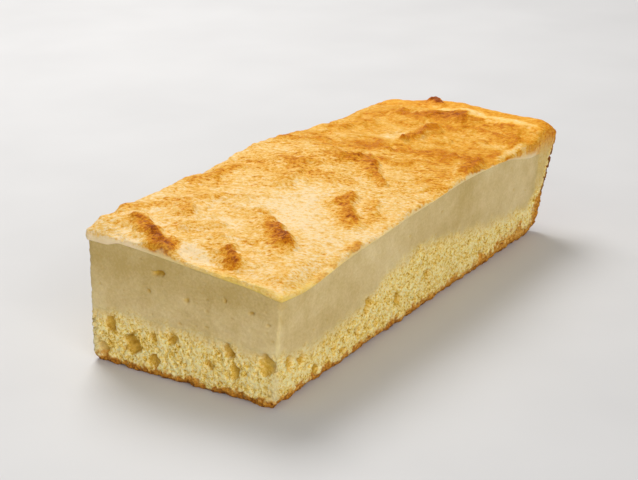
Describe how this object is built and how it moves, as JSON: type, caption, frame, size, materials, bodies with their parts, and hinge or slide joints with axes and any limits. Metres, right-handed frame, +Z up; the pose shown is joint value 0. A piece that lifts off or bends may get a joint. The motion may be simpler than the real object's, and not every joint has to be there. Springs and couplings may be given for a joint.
{
  "type": "quark cheesecake",
  "caption": "Oblong cut piece of baked quark cheesecake: sponge base turned up at the pan side, smooth quark filling and a thin browned meringue top.",
  "frame": {"origin": "centre of the bounding box's bottom, on the surface that the piece stands on", "axes": "+X along the piece towards the pan side, +Z up"},
  "size_m": [0.1939, 0.076, 0.0494],
  "materials": {
    "sponge": "open crumb, pale yellow, with a brown skin below and at the pan side",
    "quark": "smooth, moist, pale cream-yellow",
    "meringue": "thin wrinkled skin, golden with brown crags, satin"
  },
  "bodies": {
    "root": {"sponge_base": "sponge", "quark_filling": "quark", "meringue_top": "meringue"}
  },
  "joints": []
}
